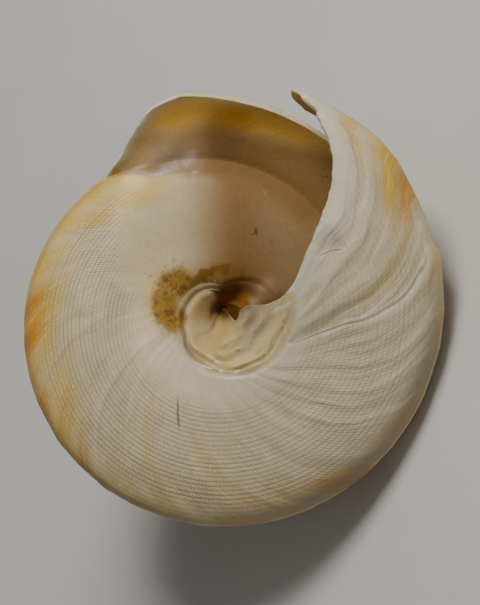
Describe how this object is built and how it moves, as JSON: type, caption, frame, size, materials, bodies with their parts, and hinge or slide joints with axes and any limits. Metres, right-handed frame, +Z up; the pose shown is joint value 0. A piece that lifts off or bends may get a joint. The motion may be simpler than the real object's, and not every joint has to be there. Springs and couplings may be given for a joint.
{
  "type": "slit shell",
  "caption": "Broad, low-spired slit shell lying on the side of its spire, with its flat base, open nacreous mouth and long slit in the lip.",
  "frame": {"origin": "middle of the shell's own bounding box in X and Y, at the level of the surface it lies on", "axes": "+X along the widest extent of the base, towards the lip; the base faces -Y and upwards, 42 degrees above level; the tip of the spire is at +Y on the surface; +Z up"},
  "size_m": [0.1176, 0.0934, 0.0756],
  "materials": {
    "shell": "chalky ivory shell with orange flames and a fine netted relief outside, pearly pinkish-cream nacre inside the lip, tan glaze on the earlier whorl, brown pit"
  },
  "bodies": {
    "root": {"shell": "shell"}
  },
  "joints": []
}
